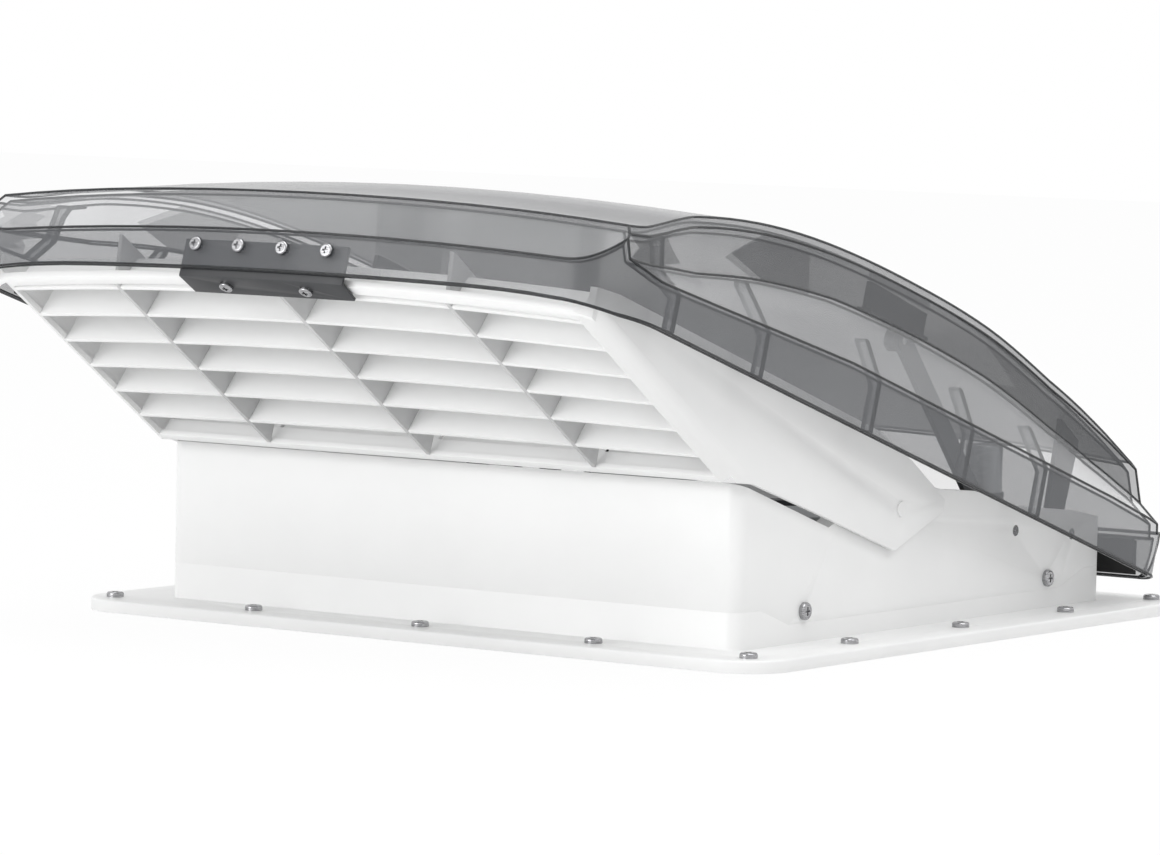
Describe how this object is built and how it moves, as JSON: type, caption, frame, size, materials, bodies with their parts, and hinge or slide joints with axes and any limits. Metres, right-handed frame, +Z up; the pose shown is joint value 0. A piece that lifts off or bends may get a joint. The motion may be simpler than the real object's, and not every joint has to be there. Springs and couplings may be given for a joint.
{
  "type": "caravan roof vent",
  "caption": "Powered caravan roof vent with hinged smoke lid, folding louvred rain hood, ducted fan, lift arms, insect screen and square roof flange.",
  "frame": {"origin": "centre of the trim screw pattern, on the underside of the square roof flange, where it meets the roof", "axes": "+Z up away from the roof, +Y from the louvred front towards the lid's hinge, +X across to the side with the lid drive"},
  "size_m": [0.44, 0.5657, 0.2357],
  "materials": {
    "white_plastic": "white moulded weatherproof plastic, satin",
    "smoke_plastic": "smoke grey see-through acrylic, polished",
    "grey_plate": "dark grey coated plate",
    "steel": "stainless steel",
    "black_rubber": "black rubber, matte",
    "black_plastic": "black moulded plastic",
    "rotor_plastic": "light grey moulded plastic",
    "mesh": "woven grey insect mesh",
    "board": "green circuit board"
  },
  "bodies": {
    "base": {"roof_flange": "white_plastic", "roof_screws": "steel", "housing": "white_plastic", "housing_screws": "steel", "fan_shroud": "white_plastic", "motor_bracket": "grey_plate", "bracket_screws": "steel", "motor_can": "steel", "motor_cap": "black_plastic", "hood_pins": "white_plastic", "hinge_pins": "steel", "gearbox_case": "black_plastic", "lift_motor": "steel", "control_case": "white_plastic", "control_fascia": "white_plastic", "circuit_board": "board", "screen_frame": "white_plastic", "screen_mesh": "mesh"},
    "lid": {"lid_shell": "smoke_plastic", "rear_seal": "black_rubber", "link_plate": "grey_plate", "link_screws": "steel", "hood_link_screws": "steel", "lid_bracket_left": "black_plastic", "lid_bracket_right": "black_plastic", "lift_rails": "black_plastic"},
    "hood": {"hood_frame": "white_plastic", "louvre_slats": "white_plastic", "louvre_dividers": "white_plastic"},
    "left_arm": {"lift_arm_left": "grey_plate", "lift_pin_left": "steel", "roller_pin_left": "steel"},
    "right_arm": {"lift_arm_right": "grey_plate", "lift_pin_right": "steel", "roller_pin_right": "steel", "worm_wheel": "black_plastic"},
    "left_roller": {"roller_left": "black_plastic"},
    "right_roller": {"roller_right": "black_plastic"},
    "worm": {"worm_shaft": "steel", "lid_knob": "white_plastic"},
    "fan": {"fan_rotor": "rotor_plastic", "motor_shaft": "steel", "rotor_nut": "steel"},
    "lid_key": {"lid_button": "black_plastic"},
    "fan_key": {"fan_button": "black_plastic"},
    "speed_key": {"speed_button": "black_plastic"},
    "clip_1": {"screen_clip_1": "white_plastic"},
    "clip_2": {"screen_clip_2": "white_plastic"},
    "clip_3": {"screen_clip_3": "white_plastic"}
  },
  "joints": [
    {"name": "lid_hinge", "type": "hinge", "parent": "base", "child": "lid", "pos_m": [0, 0.148, 0.045], "axis": [1, 0, 0], "range_deg": [0, 17.4]},
    {"name": "hood_hinge", "type": "hinge", "parent": "base", "child": "hood", "pos_m": [0, -0.037, 0.07], "axis": [1, 0, 0], "range_deg": [0, 27.12]},
    {"name": "left_lift_hinge", "type": "hinge", "parent": "base", "child": "left_arm", "pos_m": [-0.1655, 0.088, 0.0506], "axis": [1, 0, 0], "range_deg": [0, 25.8]},
    {"name": "right_lift_hinge", "type": "hinge", "parent": "base", "child": "right_arm", "pos_m": [0.1655, 0.088, 0.0506], "axis": [1, 0, 0], "range_deg": [0, 25.8]},
    {"name": "left_roller_spin", "type": "hinge", "parent": "left_arm", "child": "left_roller", "pos_m": [-0.1607, -0.00449, 0.1557], "axis": [1, 0, 0], "continuous": true},
    {"name": "right_roller_spin", "type": "hinge", "parent": "right_arm", "child": "right_roller", "pos_m": [0.1607, -0.00449, 0.1557], "axis": [1, 0, 0], "continuous": true},
    {"name": "knob_turn", "type": "hinge", "parent": "base", "child": "worm", "pos_m": [0.151, 0.1066, 0.03], "axis": [0, 0, 1], "range_deg": [0, 206.5]},
    {"name": "fan_spin", "type": "hinge", "parent": "base", "child": "fan", "pos_m": [0, 0, 0.041], "axis": [0, 0, 1], "continuous": true},
    {"name": "lid_press", "type": "slide", "parent": "base", "child": "lid_key", "axis": [0, 0, 1], "range_m": [0, 0.0015], "stiffness_N_per_m": 400, "springref_m": -0.0005},
    {"name": "fan_press", "type": "slide", "parent": "base", "child": "fan_key", "axis": [0, 0, 1], "range_m": [0, 0.0015], "stiffness_N_per_m": 400, "springref_m": -0.0005},
    {"name": "speed_press", "type": "slide", "parent": "base", "child": "speed_key", "axis": [0, 0, 1], "range_m": [0, 0.0015], "stiffness_N_per_m": 400, "springref_m": -0.0005},
    {"name": "clip_1_turn", "type": "hinge", "parent": "base", "child": "clip_1", "pos_m": [0.1685, 0, 0.015], "axis": [0, 0, 1], "range_deg": [0, 90]},
    {"name": "clip_2_turn", "type": "hinge", "parent": "base", "child": "clip_2", "pos_m": [-0.08425, 0.14592, 0.015], "axis": [0, 0, 1], "range_deg": [0, 90]},
    {"name": "clip_3_turn", "type": "hinge", "parent": "base", "child": "clip_3", "pos_m": [-0.08425, -0.14592, 0.015], "axis": [0, 0, 1], "range_deg": [0, 90]}
  ],
  "couplings": [
    {"joint": "hood_hinge", "follows": "lid_hinge", "ratio": 1.556},
    {"joint": "left_lift_hinge", "follows": "lid_hinge", "ratio": 1.4799},
    {"joint": "right_lift_hinge", "follows": "lid_hinge", "ratio": 1.4799},
    {"joint": "knob_turn", "follows": "lid_hinge", "ratio": 11.839}
  ]
}
